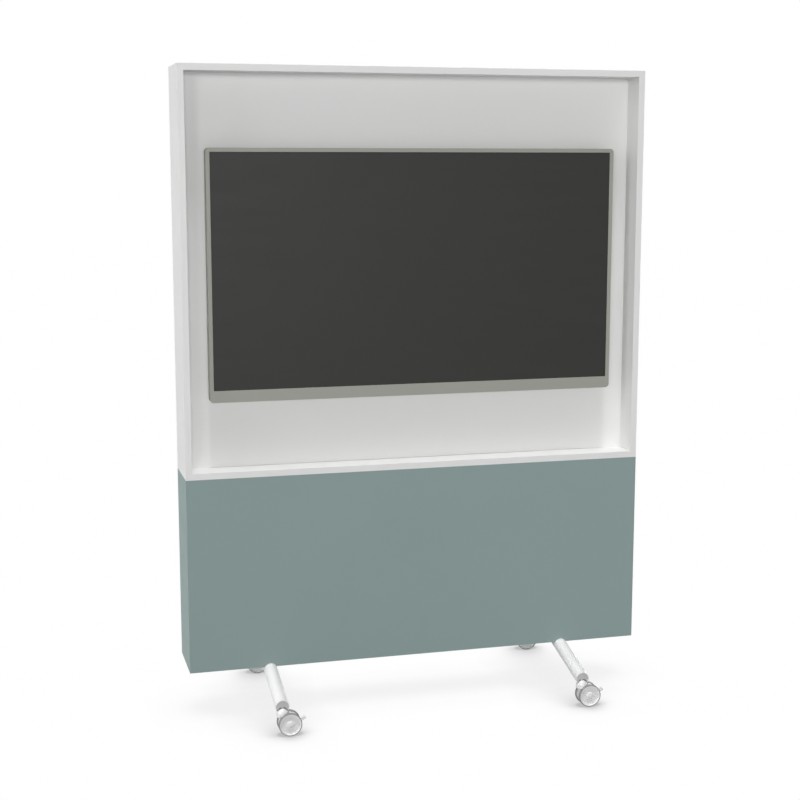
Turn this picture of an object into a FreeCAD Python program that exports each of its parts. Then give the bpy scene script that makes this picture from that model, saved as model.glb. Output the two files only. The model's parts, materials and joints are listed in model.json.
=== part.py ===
import FreeCAD, Part
import math
import os

# Mobile monitor wall. Millimetres, +Z up, +X to the viewer's right, -Y towards the viewer.
# The origin is on the floor, under the middle of the wall.

V = FreeCAD.Vector

# Boards
BOARD = 19.0                # thickness of every board
SIDE_SPACE = 61.0           # clear width beside the monitor, each side
SPACE_BELOW = 198.4         # clear height under the monitor
SPACE_ABOVE = 211.6         # clear height over the monitor
BASE_HEIGHT = 578.0         # green lower unit
SERVICE_DEPTH = 80.0        # cavity between the niche's back board and the rear cover
COVER_GAP = 1.0             # reveal round the rear cover

# Uprights inside the wall, over the legs
UPRIGHT_WIDTH = 45.0
UPRIGHT_GAP = 0.5           # clearance where an upright passes the niche's bottom board

# Rear cover screws
COVER_SCREW_ROWS = 4        # on each upright
COVER_SCREW_INSET = 70.0    # first and last screw from the cover's ends
COVER_SCREW_R = 2.0
COVER_SCREW_HEAD_R = 4.5
COVER_SCREW_HEAD = 2.5
COVER_SCREW_BITE = 14.0     # length in the upright

# Monitor
SCREEN_WIDTH = 1216.5
SCREEN_HEIGHT = 684.3
BEZEL_SIDE = 11.75
BEZEL_TOP = 11.4
BEZEL_BOTTOM = 34.3
MONITOR_CORNER = 11.0
MONITOR_RECESS = 39.0       # bezel face behind the front edge of the wall
BEZEL_DEPTH = 20.0
BEZEL_WALL = 3.0
BEZEL_LIP = 2.0             # front lip that holds the screen
SCREEN_LAP = 4.0            # screen edge hidden behind the lip
SCREEN_DEPTH = 12.0
MONITOR_COVER_DEPTH = 7.0
MONITOR_COVER_WALL = 2.5
MONITOR_BOSS_R = 8.0
MONITOR_BOSS_REACH = 9.0    # screw boss, from the inside of the monitor's rear cover

# Power button under the monitor
BUTTON_INSET = 60.0         # from the monitor's right edge
BUTTON_LENGTH = 16.0
BUTTON_WIDTH = 5.0
BUTTON_PROUD = 1.4
BUTTON_FLANGE = 2.0         # overhang of the inner flange
BUTTON_FLANGE_THICK = 1.2
BUTTON_GAP = 0.3

# Monitor bracket
BRACKET_DEPTH = 16.0        # back board to the monitor's rear cover
BOLT_SPACING = 400.0        # square bolt pattern on the back of the monitor
RAIL_SHEET = 3.0
RAIL_MARGIN = 40.0          # wall rails beyond the bolt pattern, sideways
RAIL_OVER = 10.0            # wall rails beyond the bolt pattern, up and down
RAIL_HEIGHT = 60.0
RAIL_FLANGE = 8.0           # rail edge that the arms hook on
ARM_WIDTH = 30.0
ARM_SHEET = 2.5
ARM_OVERHANG = 20.0         # arm beyond the wall rails, at both ends
ARM_HOOK = 9.0              # depth of the notch that hooks on the upper rail
ARM_GAP = 0.3
ARM_SCREW_R = 3.0
ARM_SCREW_HEAD_R = 6.0
ARM_SCREW_HEAD = 4.0
ARM_SCREW_GAP = 0.05
WALL_SCREW_R = 2.5
WALL_SCREW_HEAD_R = 5.0
WALL_SCREW_HEAD = 3.0
WALL_SCREW_BITE = 14.0      # length in the back board
WALL_SCREW_INSET = 12.0     # from the end of a rail

# Cable ways
GROMMET_R = 30.0
GROMMET_FLANGE = 4.0
GROMMET_FLANGE_THICK = 2.0
GROMMET_WALL = 4.0
GROMMET_BRUSH = 4.0
GROMMET_GAP = 0.1
SLOT_LENGTH = 120.0         # cable slot in the niche's bottom board, inside the cavity
SLOT_WIDTH = 50.0
GLAND_RISE = 110.0          # above the lower edge of the green unit
GLAND_R = 10.0
GLAND_BORE_R = 4.5
GLAND_FLANGE = 6.0
GLAND_FLANGE_THICK = 3.0
GLAND_TAIL = 3.0            # inside the rear panel
GLAND_GAP = 0.1

# Legs
LEG_INSET = 240.0           # leg centre from the end of the wall
LEG_REACH = 187.5           # plumb tube end from the wall's face
LEG_SLOPE = 14.5            # degrees
TUBE_R = 20.0
TUBE_WALL = 2.0
TUBE_DROP = 10.5            # tube axis below the green unit where it leaves the wall
NOTCH_GAP = 0.5             # panel notch round the tube
PLUG_LENGTH = 45.0
PLUG_SINK = 0.6             # plug face behind the tube end
PLUG_GAP = 0.1

# Leg saddles
SADDLE_PLATE = 5.0
SADDLE_CHEEK = 5.0
SADDLE_WIDTH = 110.0
SADDLE_LENGTH = 120.0
SADDLE_GAP = 0.15           # weld gap round the tubes
SADDLE_CLEAR = 4.0          # cheek above the lower edge of the green unit
SADDLE_SCREW_INSET = 15.0
SADDLE_SCREW_R = 3.0
SADDLE_SCREW_HEAD_R = 6.0
SADDLE_SCREW_HEAD = 4.0
SADDLE_SCREW_BITE = 15.0    # length in the bottom board
SCREW_GAP = 0.1             # round every plain screw

# Casters
WHEEL_R = 34.0
WHEEL_WIDTH = 10.0
TYRE_THICK = 2.6
TYRE_ROUND = 1.5
CORE_WIDTH = 19.0           # housing between the two wheels
CORE_INSET = 3.0            # housing radius inside the tread
CORE_FLOOR = 7.0            # flat under the housing, above the floor
WHEEL_SIDE_GAP = 0.5
WHEEL_GAP = 1.0
TRAIL = 20.85
STEM_INSET = 7.5            # stem axis from the plumb tube end
DOME_R = 17.0
DOME_SINK = 3.5             # dome centre below the top of the wheels
DOME_DROP = 1.79            # dome centre below the underside of the tube, at the stem
DOME_SKIRT = 7.0            # round skirt under the dome's widest place
COPE_GAP = 0.8              # notch in the tube end round the dome
COPE_RISE = 17.0            # degrees that the notch rises towards the tube end
STEM_R = 4.0
STEM_BITE = 11.0            # stem end above the tube axis
STEM_FOOT = 12.0            # stem end below the dome centre
STEM_CHAMFER = 0.8
AXLE_R = 3.0
AXLE_BITE = 7.5             # axle in each wheel
HUB_R = 12.4
RIM_DISH = 4.0
RIM_SINK = 0.3              # rim and hub cap behind the tyre's side
RIM_LIP = 2.4
RIM_POCKET = 3.8
RUN_GAP = 0.05              # radial running clearance
PRESS_GAP = 0.02
END_GAP = 0.3

# Brake pedal
PEDAL_X = 19.0              # pivot from the axle
PEDAL_Z = -3.0
PEDAL_REACH = 32.7
PEDAL_RISE = 32.5           # degrees, at rest
PEDAL_THICK = 2.8
PEDAL_ARM = 11.4            # width in the housing
PEDAL_TAB = 18.0            # width of the foot tab
PEDAL_TAB_LENGTH = 11.0
PEDAL_BOSS_R = 5.0
PEDAL_PIN_R = 2.0
PEDAL_PIN = 2.8             # pin length each side
PEDAL_SLOT_GAP = 0.4
PEDAL_SLOT_ROOM = 7.0       # room over the boss for the raised arm

# Worked-out places
MONITOR_WIDTH = SCREEN_WIDTH + 2 * BEZEL_SIDE
MONITOR_HEIGHT = SCREEN_HEIGHT + BEZEL_TOP + BEZEL_BOTTOM
INNER_X = MONITOR_WIDTH / 2 + SIDE_SPACE
OUTER_X = INNER_X + BOARD
RAIL_SPAN = BOLT_SPACING + 2 * RAIL_OVER
NICHE_DEPTH = MONITOR_RECESS + BEZEL_DEPTH + MONITOR_COVER_DEPTH + BRACKET_DEPTH
WALL_DEPTH = NICHE_DEPTH + BOARD + SERVICE_DEPTH + BOARD
FACE_Y = WALL_DEPTH / 2
SKIN_Y = FACE_Y - BOARD
SLOPE = math.radians(LEG_SLOPE)
COPE_TAN = math.tan(math.radians(COPE_RISE))
LEG_X = OUTER_X - LEG_INSET
LEG_END = FACE_Y + LEG_REACH
STEM_Y = LEG_END - STEM_INSET
TUBE_HALF = TUBE_R / math.cos(SLOPE)
DOME_Z = 2 * WHEEL_R - DOME_SINK
STEM_AXIS_Z = DOME_Z + DOME_DROP + TUBE_HALF
APEX_Z = STEM_AXIS_Z + STEM_Y * math.tan(SLOPE)
BASE_Z = APEX_Z - FACE_Y * math.tan(SLOPE) + TUBE_DROP
SEAM_Z = BASE_Z + BASE_HEIGHT
NICHE_Z = SEAM_Z + BOARD
MONITOR_Z = NICHE_Z + SPACE_BELOW
NICHE_TOP = MONITOR_Z + MONITOR_HEIGHT + SPACE_ABOVE
TOP_Z = NICHE_TOP + BOARD
MIDDLE_Z = MONITOR_Z + MONITOR_HEIGHT / 2
BACK_Y = -FACE_Y + NICHE_DEPTH
SERVICE_Y = BACK_Y + BOARD
BEZEL_Y = -FACE_Y + MONITOR_RECESS
COVER_Y = BEZEL_Y + BEZEL_DEPTH
MONITOR_BACK = COVER_Y + MONITOR_COVER_DEPTH
SADDLE_Z = APEX_Z + TUBE_HALF + SADDLE_GAP
BOTTOM_Z = SADDLE_Z + SADDLE_PLATE
CORE_HALF = CORE_WIDTH / 2
WHEEL_IN = CORE_HALF + WHEEL_SIDE_GAP
WHEEL_OUT = WHEEL_IN + WHEEL_WIDTH
AXLE_END = WHEEL_IN + AXLE_BITE

Y_AXIS = V(0, 1, 0)
Z_AXIS = V(0, 0, 1)
LEFT_RIGHT = (("left", -1), ("right", 1))
FRONT_REAR = (("front", -1), ("rear", 1))


def box(low, high):
    size = V(*high) - V(*low)
    return Part.makeBox(size.x, size.y, size.z, V(*low))


def rod(radius, start, end):
    run = V(*end) - V(*start)
    return Part.makeCylinder(radius, run.Length, V(*start), run)


def prism(points, run):
    corners = [V(*point) for point in points]
    return Part.Face(Part.makePolygon(corners + corners[:1])).extrude(run)


def outline(start, steps):
    """Closed face from a start point and steps: a point is a line, a pair (middle, end) an arc."""
    edges = []
    here = V(*start)
    for step in steps + [start]:
        if isinstance(step[0], tuple):
            middle, end = V(*step[0]), V(*step[1])
            edges.append(Part.Arc(here, middle, end).toShape())
            here = end
        elif here.distanceToPoint(V(*step)) > 1e-6:
            edges.append(Part.LineSegment(here, V(*step)).toShape())
            here = V(*step)
    return Part.Face(Part.Wire(edges))


def slab(low_x, high_x, low_z, high_z, corner, front, back):
    """Upright plate with rounded corners, from y = front to y = back."""
    plate = box((low_x, front, low_z), (high_x, back, high_z))
    edges = [e for e in plate.Edges if abs(e.tangentAt(e.FirstParameter).y) > 0.5]
    return plate.makeFillet(corner, edges)


def screw(point, run, shank_r, shank, head_r, head):
    """Pan-head screw: the head's seat is at the point, the shank runs along the direction."""
    seat = V(*point)
    body = Part.makeCylinder(shank_r, shank, seat, run)
    return body.fuse(Part.makeCylinder(head_r, head, seat, run * -1)).removeSplitter()


def save(node, solids):
    shape = solids[0] if len(solids) == 1 else Part.makeCompound(solids)
    shape.exportStep("parts/" + node + ".step")


def leg_bar(side, x, radius, near, far):
    """Round bar on a leg's sloping axis, cut plumb at two distances from the wall's middle."""
    run = V(0, side * math.cos(SLOPE), -math.sin(SLOPE))
    over = 2 * radius
    start = V(x, 0, APEX_Z) - run * over
    bar = Part.makeCylinder(radius, LEG_END / math.cos(SLOPE) + 2 * over, start, run)
    ends = sorted((side * near, side * far))
    keep = box((x - over, ends[0], 0), (x + over, ends[1], APEX_Z + over))
    return bar.common(keep)


def niche_boards():
    """Four boards with mitred corners, the back board and the rear cover with its screws."""
    depth = V(0, WALL_DEPTH, 0)
    outer = [(-OUTER_X, SEAM_Z), (OUTER_X, SEAM_Z), (OUTER_X, TOP_Z), (-OUTER_X, TOP_Z)]
    inner = [(-INNER_X, NICHE_Z), (INNER_X, NICHE_Z), (INNER_X, NICHE_TOP), (-INNER_X, NICHE_TOP)]
    boards = {}
    for i, name in enumerate(("bottom", "right", "top", "left")):
        j = (i + 1) % 4
        ring = [outer[i], outer[j], inner[j], inner[i]]
        boards[name] = prism([(x, -FACE_Y, z) for x, z in ring], depth)
    passage = box((-SLOT_LENGTH / 2, SERVICE_Y + (SERVICE_DEPTH - SLOT_WIDTH) / 2, SEAM_Z),
                  (SLOT_LENGTH / 2, SERVICE_Y + (SERVICE_DEPTH + SLOT_WIDTH) / 2, NICHE_Z))
    boards["bottom"] = boards["bottom"].cut([passage] + uprights(UPRIGHT_GAP))
    for name, board in boards.items():
        save("niche_" + name + "_board", [board])

    back = box((-INNER_X, BACK_Y, NICHE_Z), (INNER_X, SERVICE_Y, NICHE_TOP))
    holes = [rod(WALL_SCREW_R + SCREW_GAP, (x, BACK_Y, z), (x, BACK_Y + WALL_SCREW_BITE + END_GAP, z))
             for x, z in wall_screw_places()]
    holes.append(rod(GROMMET_R, (0, BACK_Y, MIDDLE_Z), (0, SERVICE_Y, MIDDLE_Z)))
    save("niche_back_board", [back.cut(holes)])

    edge = INNER_X - COVER_GAP
    cover = box((-edge, SKIN_Y, NICHE_Z + COVER_GAP), (edge, FACE_Y, NICHE_TOP - COVER_GAP))
    screws = []
    holes = []
    for x, z in cover_screw_places():
        seat = (x, FACE_Y - COVER_SCREW_HEAD, z)
        length = BOARD - COVER_SCREW_HEAD + COVER_SCREW_BITE
        screws.append(screw(seat, Y_AXIS * -1, COVER_SCREW_R, length, COVER_SCREW_HEAD_R, COVER_SCREW_HEAD))
        holes.append(rod(COVER_SCREW_R + SCREW_GAP, (x, SKIN_Y, z), seat))
        holes.append(rod(COVER_SCREW_HEAD_R + END_GAP, seat, (x, FACE_Y, z)))
    save("rear_cover", [cover.cut(holes)])
    save("rear_cover_screws", screws)


def cover_screw_places():
    low = NICHE_Z + COVER_SCREW_INSET
    step = (NICHE_TOP - NICHE_Z - 2 * COVER_SCREW_INSET) / (COVER_SCREW_ROWS - 1)
    return [(side * LEG_X, low + row * step) for _, side in LEFT_RIGHT for row in range(COVER_SCREW_ROWS)]


def uprights(grow):
    """The two uprights from the bottom board to the top board, grown sideways by a clearance."""
    half = UPRIGHT_WIDTH / 2 + grow
    return [box((side * LEG_X - half, SERVICE_Y - grow, BOTTOM_Z + BOARD),
                (side * LEG_X + half, SKIN_Y + grow, NICHE_TOP)) for _, side in LEFT_RIGHT]


def frame_uprights():
    holes = [rod(COVER_SCREW_R + SCREW_GAP, (x, SKIN_Y - COVER_SCREW_BITE - END_GAP, z), (x, SKIN_Y, z))
             for x, z in cover_screw_places()]
    save("frame_uprights", [upright.cut(holes) for upright in uprights(0.0)])


def base_unit():
    """Green lower unit: four panels with mitred corners, notched round the legs, and its bottom board."""
    rise = V(0, 0, BASE_HEIGHT)
    outer = [(-OUTER_X, -FACE_Y), (OUTER_X, -FACE_Y), (OUTER_X, FACE_Y), (-OUTER_X, FACE_Y)]
    inner = [(-INNER_X, -SKIN_Y), (INNER_X, -SKIN_Y), (INNER_X, SKIN_Y), (-INNER_X, SKIN_Y)]
    panels = {}
    for i, name in enumerate(("front", "right", "rear", "left")):
        j = (i + 1) % 4
        ring = [outer[i], outer[j], inner[j], inner[i]]
        panels[name] = prism([(x, y, BASE_Z) for x, y in ring], rise)
    for name, side in FRONT_REAR:
        notches = [leg_bar(side, x, TUBE_R + NOTCH_GAP, 0, LEG_END) for x in (-LEG_X, LEG_X)]
        panels[name] = panels[name].cut(notches)
    gland_z = BASE_Z + GLAND_RISE
    panels["rear"] = panels["rear"].cut(rod(GLAND_R + GLAND_GAP, (0, SKIN_Y, gland_z), (0, FACE_Y, gland_z)))
    for name, panel in panels.items():
        save("base_" + name + "_panel", [panel])

    bottom = box((-INNER_X, -SKIN_Y, BOTTOM_Z), (INNER_X, SKIN_Y, BOTTOM_Z + BOARD))
    holes = [rod(SADDLE_SCREW_R + SCREW_GAP, (x, y, BOTTOM_Z), (x, y, BOTTOM_Z + SADDLE_SCREW_BITE + END_GAP))
             for x, y in saddle_screw_places()]
    save("base_bottom_board", [bottom.cut(holes)])

    inner_end = (0, SKIN_Y - GLAND_TAIL, gland_z)
    seat = (0, FACE_Y, gland_z)
    outer_end = (0, FACE_Y + GLAND_FLANGE_THICK, gland_z)
    gland = rod(GLAND_R, inner_end, seat).fuse(rod(GLAND_R + GLAND_FLANGE, seat, outer_end))
    bore = rod(GLAND_BORE_R, inner_end, outer_end)
    save("cable_gland", [gland.cut(bore).removeSplitter()])


def saddle_screw_places():
    dx = SADDLE_WIDTH / 2 - SADDLE_SCREW_INSET
    dy = SADDLE_LENGTH / 2 - SADDLE_SCREW_INSET
    return [(side * LEG_X + sx * dx, sy * dy) for _, side in LEFT_RIGHT for sx in (-1, 1) for sy in (-1, 1)]


def leg_saddles():
    """A plate with two cheeks straddles each leg's apex and is screwed up into the bottom board."""
    saddles = []
    screws = []
    half_x = SADDLE_WIDTH / 2
    half_y = SADDLE_LENGTH / 2
    for _, side in LEFT_RIGHT:
        x = side * LEG_X
        saddle = box((x - half_x, -half_y, SADDLE_Z), (x + half_x, half_y, BOTTOM_Z))
        near = TUBE_R + SADDLE_GAP
        foot = BASE_Z + SADDLE_CLEAR
        for edge in (x - near - SADDLE_CHEEK, x + near):
            saddle = saddle.fuse(box((edge, -half_y, foot), (edge + SADDLE_CHEEK, half_y, SADDLE_Z)))
        saddles.append(saddle.removeSplitter())
    holes = []
    for x, y in saddle_screw_places():
        screws.append(screw((x, y, SADDLE_Z), Z_AXIS, SADDLE_SCREW_R, SADDLE_PLATE + SADDLE_SCREW_BITE,
                            SADDLE_SCREW_HEAD_R, SADDLE_SCREW_HEAD))
        holes.append(rod(SADDLE_SCREW_R + SCREW_GAP, (x, y, SADDLE_Z), (x, y, BOTTOM_Z)))
    save("leg_saddles", [saddle.cut(holes) for saddle in saddles])
    save("saddle_screws", screws)


def legs():
    """Four tubes that meet in pairs at the apex, their end plugs and the caster stems."""
    plugs = []
    stems = []
    stem_top = STEM_AXIS_Z + STEM_BITE
    stem_foot = DOME_Z - STEM_FOOT
    bore_r = TUBE_R - TUBE_WALL
    for depth_name, depth in FRONT_REAR:
        for side_name, side in LEFT_RIGHT:
            x = side * LEG_X
            y = depth * STEM_Y
            notch_r = DOME_R + COPE_GAP
            away = STEM_INSET + notch_r
            notch = rod(notch_r, (x, y, DOME_Z), (x, y + depth * away, DOME_Z + away * COPE_TAN))
            notch = notch.fuse(Part.makeSphere(notch_r, V(x, y, DOME_Z)))
            tube = leg_bar(depth, x, TUBE_R, 0, LEG_END)
            tube = tube.cut([leg_bar(depth, x, bore_r, -TUBE_R, LEG_END + TUBE_R), notch])
            save(depth_name + "_" + side_name + "_leg_tube", [tube])
            plug = leg_bar(depth, x, bore_r - PLUG_GAP, LEG_END - PLUG_LENGTH, LEG_END - PLUG_SINK)
            socket = rod(STEM_R + PRESS_GAP, (x, y, DOME_Z), (x, y, stem_top + END_GAP))
            plugs.append(plug.cut([notch, socket]).removeSplitter())
            stem = rod(STEM_R, (x, y, stem_foot), (x, y, stem_top))
            stems.append(stem.makeChamfer(STEM_CHAMFER, [e for e in stem.Edges if e.Closed]))
    save("leg_end_plugs", plugs)
    save("caster_stems", stems)


def monitor():
    """Bezel, screen, rear cover and power button."""
    half = MONITOR_WIDTH / 2
    top = MONITOR_Z + MONITOR_HEIGHT
    cavity = half - BEZEL_WALL
    corner = MONITOR_CORNER - BEZEL_WALL
    screen_low = MONITOR_Z + BEZEL_BOTTOM
    screen_top = top - BEZEL_TOP
    lip_y = BEZEL_Y + BEZEL_LIP
    button_x = half - BUTTON_INSET
    button_y = BEZEL_Y + BEZEL_DEPTH / 2

    def button_block(grow, low_z, high_z):
        return box((button_x - BUTTON_LENGTH / 2 - grow, button_y - BUTTON_WIDTH / 2 - grow, low_z),
                   (button_x + BUTTON_LENGTH / 2 + grow, button_y + BUTTON_WIDTH / 2 + grow, high_z))

    bezel = slab(-half, half, MONITOR_Z, top, MONITOR_CORNER, BEZEL_Y, COVER_Y)
    hollow = slab(-cavity, cavity, MONITOR_Z + BEZEL_WALL, top - BEZEL_WALL, corner, lip_y, COVER_Y)
    window = box((-SCREEN_WIDTH / 2, BEZEL_Y, screen_low), (SCREEN_WIDTH / 2, lip_y, screen_top))
    button_hole = button_block(BUTTON_GAP, MONITOR_Z, MONITOR_Z + BEZEL_WALL)
    save("monitor_bezel", [bezel.cut([hollow, window, button_hole])])

    lap = SCREEN_WIDTH / 2 + SCREEN_LAP
    save("monitor_screen", [box((-lap, lip_y, screen_low - SCREEN_LAP),
                                (lap, lip_y + SCREEN_DEPTH, screen_top + SCREEN_LAP))])

    seat = MONITOR_Z + BEZEL_WALL + BUTTON_GAP
    button = button_block(0.0, MONITOR_Z - BUTTON_PROUD, seat)
    button = button.fuse(button_block(BUTTON_FLANGE, seat, seat + BUTTON_FLANGE_THICK))
    save("monitor_power_button", [button.removeSplitter()])

    inside = MONITOR_BACK - MONITOR_COVER_WALL
    cover = slab(-half, half, MONITOR_Z, top, MONITOR_CORNER, COVER_Y, MONITOR_BACK)
    tray = slab(-cavity, cavity, MONITOR_Z + BEZEL_WALL, top - BEZEL_WALL, corner, COVER_Y, inside)
    cover = cover.cut(tray)
    for x, z in bolt_places():
        boss = rod(MONITOR_BOSS_R, (x, inside - MONITOR_BOSS_REACH, z), (x, inside, z))
        hole = rod(ARM_SCREW_R + ARM_SCREW_GAP, (x, inside - MONITOR_BOSS_REACH, z), (x, MONITOR_BACK, z))
        cover = cover.fuse(boss).cut(hole)
    save("monitor_rear_cover", [cover.removeSplitter()])


def bolt_places():
    half = BOLT_SPACING / 2
    return [(sx * half, MIDDLE_Z + sz * half) for sx in (-1, 1) for sz in (-1, 1)]


def wall_screw_places():
    x = BOLT_SPACING / 2 + RAIL_MARGIN - WALL_SCREW_INSET
    z = (RAIL_SPAN - RAIL_HEIGHT) / 2
    return [(sx * x, MIDDLE_Z + sz * z) for sx in (-1, 1) for sz in (-1, 1)]


def bracket():
    """Two flanged wall rails, two hook arms on the monitor, the screws of both, and the cable grommet."""
    half_x = BOLT_SPACING / 2 + RAIL_MARGIN
    low = MIDDLE_Z - RAIL_SPAN / 2
    top = MIDDLE_Z + RAIL_SPAN / 2
    sheet_y = BACK_Y - RAIL_SHEET
    flange_y = sheet_y - RAIL_FLANGE
    holes = []
    wall_screws = []
    for x, z in wall_screw_places():
        holes.append(rod(WALL_SCREW_R + SCREW_GAP, (x, sheet_y, z), (x, BACK_Y, z)))
        wall_screws.append(screw((x, sheet_y, z), Y_AXIS, WALL_SCREW_R, RAIL_SHEET + WALL_SCREW_BITE,
                                 WALL_SCREW_HEAD_R, WALL_SCREW_HEAD))
    rails = []
    for foot, flange in ((low, low), (top - RAIL_HEIGHT, top - RAIL_SHEET)):
        rail = box((-half_x, sheet_y, foot), (half_x, BACK_Y, foot + RAIL_HEIGHT))
        rail = rail.fuse(box((-half_x, flange_y, flange), (half_x, sheet_y, flange + RAIL_SHEET)))
        rails.append(rail.removeSplitter().cut(holes))
    save("bracket_wall_rails", rails)
    save("bracket_wall_screws", wall_screws)

    arms = []
    web_y = MONITOR_BACK + ARM_SHEET
    notch_y = flange_y - ARM_GAP
    hook_room = box((-half_x, notch_y, top - ARM_HOOK), (half_x, BACK_Y, top))
    heel_room = box((-half_x, notch_y, low - ARM_GAP), (half_x, BACK_Y, low + RAIL_SHEET + ARM_GAP))
    bolt_holes = [rod(ARM_SCREW_R + ARM_SCREW_GAP, (x, MONITOR_BACK, z), (x, web_y, z))
                  for x, z in bolt_places()]
    for sx in (-1, 1):
        x = sx * BOLT_SPACING / 2
        arm = box((x - ARM_WIDTH / 2, MONITOR_BACK, low - ARM_OVERHANG),
                  (x + ARM_WIDTH / 2, sheet_y - ARM_GAP, top + ARM_OVERHANG))
        channel = box((x - ARM_WIDTH / 2 + ARM_SHEET, web_y, low - ARM_OVERHANG),
                      (x + ARM_WIDTH / 2 - ARM_SHEET, BACK_Y, top + ARM_OVERHANG))
        arms.append(arm.cut([channel, hook_room, heel_room] + bolt_holes))
    save("bracket_arms", arms)
    bite = ARM_SHEET + MONITOR_COVER_WALL + MONITOR_BOSS_REACH - END_GAP
    arm_screws = [screw((x, web_y, z), Y_AXIS * -1, ARM_SCREW_R, bite, ARM_SCREW_HEAD_R, ARM_SCREW_HEAD)
                  for x, z in bolt_places()]
    save("bracket_arm_screws", arm_screws)

    grommet = rod(GROMMET_R - GROMMET_GAP, (0, BACK_Y, MIDDLE_Z), (0, SERVICE_Y, MIDDLE_Z))
    grommet = grommet.fuse(rod(GROMMET_R + GROMMET_FLANGE, (0, BACK_Y - GROMMET_FLANGE_THICK, MIDDLE_Z),
                               (0, BACK_Y, MIDDLE_Z)))
    brush_y = (BACK_Y + SERVICE_Y) / 2
    for start, end in ((BACK_Y - GROMMET_FLANGE_THICK, brush_y - GROMMET_BRUSH / 2),
                       (brush_y + GROMMET_BRUSH / 2, SERVICE_Y)):
        grommet = grommet.cut(rod(GROMMET_R - GROMMET_WALL, (0, start, MIDDLE_Z), (0, end, MIDDLE_Z)))
    save("cable_grommet", [grommet.removeSplitter()])


def rim_outline():
    """Half section of a rim, radius along X, width along Y: blind hub, pocket, dished face, crowned cap."""
    rim_r = WHEEL_R - TYRE_THICK
    face = WHEEL_OUT - RIM_DISH
    bore = AXLE_R + RUN_GAP
    floor = AXLE_END + END_GAP
    hub = bore + RIM_POCKET
    web = rim_r - RIM_LIP
    crown = WHEEL_OUT - RIM_SINK
    rise = crown - face
    cap_r = (HUB_R ** 2 + rise ** 2) / (2 * rise)
    half = math.asin(HUB_R / cap_r) / 2
    cap = (cap_r * math.sin(half), crown - cap_r * (1 - math.cos(half)), 0)
    return outline((0, floor, 0), [
        (bore, floor, 0), (bore, WHEEL_IN, 0), (hub, WHEEL_IN, 0),
        (hub, WHEEL_IN + RIM_POCKET, 0), (web, WHEEL_IN + RIM_POCKET, 0), (web, WHEEL_IN, 0),
        (rim_r, WHEEL_IN, 0), (rim_r, crown, 0), (web, crown, 0), (web, face, 0), (HUB_R, face, 0),
        (cap, (0, crown, 0))])


def tyre_outline():
    """Half section of a tyre, with both tread corners rounded."""
    inner = WHEEL_R - TYRE_THICK
    r = TYRE_ROUND
    k = r * (1 - math.sqrt(0.5))
    return outline((inner, WHEEL_IN, 0), [
        (WHEEL_R - r, WHEEL_IN, 0), ((WHEEL_R - k, WHEEL_IN + k, 0), (WHEEL_R, WHEEL_IN + r, 0)),
        (WHEEL_R, WHEEL_OUT - r, 0), ((WHEEL_R - k, WHEEL_OUT - k, 0), (WHEEL_R - r, WHEEL_OUT, 0)),
        (inner, WHEEL_OUT, 0)])


def brake_pedal():
    """Foot lever on two pins, in its place beside the axle, trailing to +X."""
    half = PEDAL_THICK / 2
    arm = PEDAL_ARM / 2
    tab = PEDAL_TAB / 2
    pedal = rod(PEDAL_BOSS_R, (0, -arm, 0), (0, arm, 0))
    pedal = pedal.fuse(box((0, -arm, -half), (PEDAL_REACH, arm, half)))
    foot = box((PEDAL_REACH - PEDAL_TAB_LENGTH, -tab, -half), (PEDAL_REACH, tab, half))
    tip = [e for e in foot.Edges if e.BoundBox.XMin > PEDAL_REACH - 1e-6]
    pedal = pedal.fuse(foot.makeFillet(PEDAL_THICK / 3, tip))
    pedal = pedal.fuse(rod(PEDAL_PIN_R, (0, -arm - PEDAL_PIN, 0), (0, arm + PEDAL_PIN, 0))).removeSplitter()
    pedal.rotate(V(0, 0, 0), Y_AXIS, -PEDAL_RISE)
    pedal.translate(V(TRAIL + PEDAL_X, 0, WHEEL_R + PEDAL_Z))
    return pedal


def caster_housing():
    """Skirted dome on the stem, and a core between the wheels with a slot for the brake pedal."""
    core_r = WHEEL_R - CORE_INSET
    core = rod(core_r, (TRAIL, -CORE_HALF, WHEEL_R), (TRAIL, CORE_HALF, WHEEL_R))
    core = core.cut(box((TRAIL - WHEEL_R, -CORE_HALF, 0), (TRAIL + WHEEL_R, CORE_HALF, CORE_FLOOR)))
    skirt = rod(DOME_R, (0, 0, DOME_Z - DOME_SKIRT), (0, 0, DOME_Z))
    housing = Part.makeSphere(DOME_R, V(0, 0, DOME_Z)).fuse([skirt, core])
    room = WHEEL_R + WHEEL_GAP
    cuts = [rod(room, (TRAIL, side * CORE_HALF, WHEEL_R), (TRAIL, side * (CORE_HALF + 2 * DOME_R), WHEEL_R))
            for side in (-1, 1)]
    cuts.append(rod(STEM_R + RUN_GAP, (0, 0, DOME_Z - STEM_FOOT - END_GAP), (0, 0, DOME_Z + 2 * DOME_R)))
    cuts.append(rod(AXLE_R + PRESS_GAP, (TRAIL, -CORE_HALF, WHEEL_R), (TRAIL, CORE_HALF, WHEEL_R)))
    pivot_x = TRAIL + PEDAL_X
    pivot_z = WHEEL_R + PEDAL_Z
    slot_half = PEDAL_ARM / 2 + PEDAL_SLOT_GAP
    reach = PEDAL_BOSS_R + PEDAL_SLOT_GAP
    cuts.append(box((pivot_x - reach, -slot_half, pivot_z - reach),
                    (TRAIL + WHEEL_R, slot_half, pivot_z + reach + PEDAL_SLOT_ROOM)))
    cuts.append(rod(PEDAL_PIN_R + RUN_GAP, (pivot_x, -CORE_HALF, pivot_z), (pivot_x, CORE_HALF, pivot_z)))
    return housing.cut(cuts).removeSplitter()


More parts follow.
